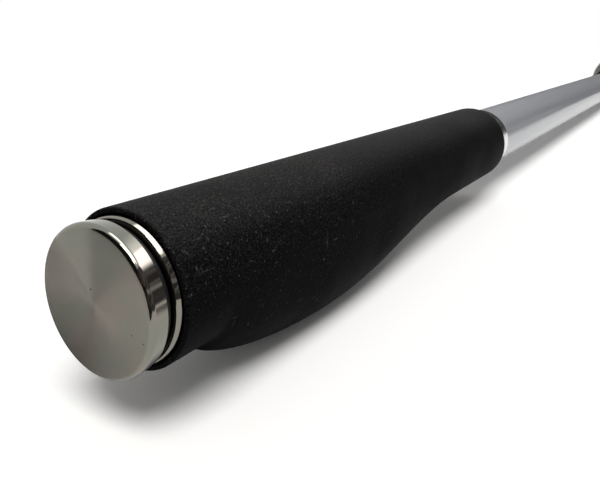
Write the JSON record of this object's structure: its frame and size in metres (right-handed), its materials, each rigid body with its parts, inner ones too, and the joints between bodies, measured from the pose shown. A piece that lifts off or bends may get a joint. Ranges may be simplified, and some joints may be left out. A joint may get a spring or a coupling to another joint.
{
  "type": "telescopic surf rod",
  "caption": "Long telescopic fishing rod, pushed closed, with a screw-in metal butt cap, a black grip with a palm swell, a reel seat and a stack of line guides at the mouth.",
  "frame": {"origin": "centre of the butt cap's flat end face, on the rod's axis", "axes": "+X along the rod from the butt cap towards the tip; +Z away from the grip's swell, the side of the reel bed and the line guides"},
  "size_m": [1.0066, 0.0422, 0.072],
  "materials": {
    "gunmetal": "polished",
    "black_rubber": "matte",
    "grey_foam": "matte",
    "grey_blank": "gloss",
    "seat_plastic": "satin",
    "guide_steel": "polished",
    "ring_ceramic": "polished"
  },
  "bodies": {
    "butt": {"threaded_insert": "gunmetal", "butt_grip": "black_rubber", "grip_front_ring": "gunmetal", "butt_section": "grey_blank", "mouth_ring": "gunmetal", "seat_rear_trim": "gunmetal", "seat_front_trim": "gunmetal", "seat_rear_arbor": "grey_foam", "seat_front_arbor": "grey_foam", "reel_seat_body": "seat_plastic", "fixed_hood": "gunmetal", "fixed_hood_liner": "black_rubber"},
    "cap_seal": {"cap_o_ring": "black_rubber"},
    "cap": {"butt_cap": "gunmetal", "rattle_pad": "grey_foam"},
    "sliding_hood": {"sliding_hood": "gunmetal", "sliding_hood_liner": "black_rubber"},
    "seat_nut": {"seat_nut": "gunmetal"},
    "second_section": {"second_section": "grey_blank", "second_guide_frame": "guide_steel", "second_guide_ring": "ring_ceramic"},
    "third_section": {"third_section": "grey_blank", "third_guide_frame": "guide_steel", "third_guide_ring": "ring_ceramic"},
    "fourth_section": {"fourth_section": "grey_blank", "fourth_guide_frame": "guide_steel", "fourth_guide_ring": "ring_ceramic"},
    "tip_section": {"tip_section": "grey_blank", "tip_top_frame": "guide_steel", "tip_top_ring": "ring_ceramic"},
    "floating_guide_1": {"floating_guide_1_frame": "guide_steel", "floating_guide_1_ring": "ring_ceramic"},
    "floating_guide_2": {"floating_guide_2_frame": "guide_steel", "floating_guide_2_ring": "ring_ceramic"},
    "floating_guide_3": {"floating_guide_3_frame": "guide_steel", "floating_guide_3_ring": "ring_ceramic"}
  },
  "joints": [
    {"name": "cap_travel", "type": "slide", "parent": "butt", "child": "cap_seal", "axis": [-1, 0, 0], "range_m": [0, 0.009]},
    {"name": "cap_turn", "type": "hinge", "parent": "cap_seal", "child": "cap", "pos_m": [0, 0, 0], "axis": [-1, 0, 0], "range_deg": [0, 2160]},
    {"name": "hood_travel", "type": "slide", "parent": "butt", "child": "sliding_hood", "axis": [1, 0, 0], "range_m": [0, 0.02]},
    {"name": "nut_turn", "type": "hinge", "parent": "sliding_hood", "child": "seat_nut", "pos_m": [0.718, 0, 0], "axis": [1, 0, 0], "range_deg": [0, 3600]},
    {"name": "second_slide", "type": "slide", "parent": "butt", "child": "second_section", "axis": [1, 0, 0], "range_m": [0, 0.746]},
    {"name": "third_slide", "type": "slide", "parent": "second_section", "child": "third_section", "axis": [1, 0, 0], "range_m": [0, 0.782]},
    {"name": "fourth_slide", "type": "slide", "parent": "third_section", "child": "fourth_section", "axis": [1, 0, 0], "range_m": [0, 0.814]},
    {"name": "tip_slide", "type": "slide", "parent": "fourth_section", "child": "tip_section", "axis": [1, 0, 0], "range_m": [0, 0.844]},
    {"name": "floating_guide_1_slide", "type": "slide", "parent": "tip_section", "child": "floating_guide_1", "axis": [1, 0, 0], "range_m": [-0.628, 0]},
    {"name": "floating_guide_2_slide", "type": "slide", "parent": "tip_section", "child": "floating_guide_2", "axis": [1, 0, 0], "range_m": [-0.414, 0]},
    {"name": "floating_guide_3_slide", "type": "slide", "parent": "tip_section", "child": "floating_guide_3", "axis": [1, 0, 0], "range_m": [-0.201, 0]}
  ],
  "couplings": [
    {"joint": "cap_turn", "follows": "cap_travel", "rad_per_m": 4188.8},
    {"joint": "nut_turn", "follows": "hood_travel", "rad_per_m": 3141.6},
    {"joint": "floating_guide_1_slide", "follows": "tip_slide", "ratio": -0.744},
    {"joint": "floating_guide_2_slide", "follows": "tip_slide", "ratio": -0.49},
    {"joint": "floating_guide_3_slide", "follows": "tip_slide", "ratio": -0.238}
  ]
}
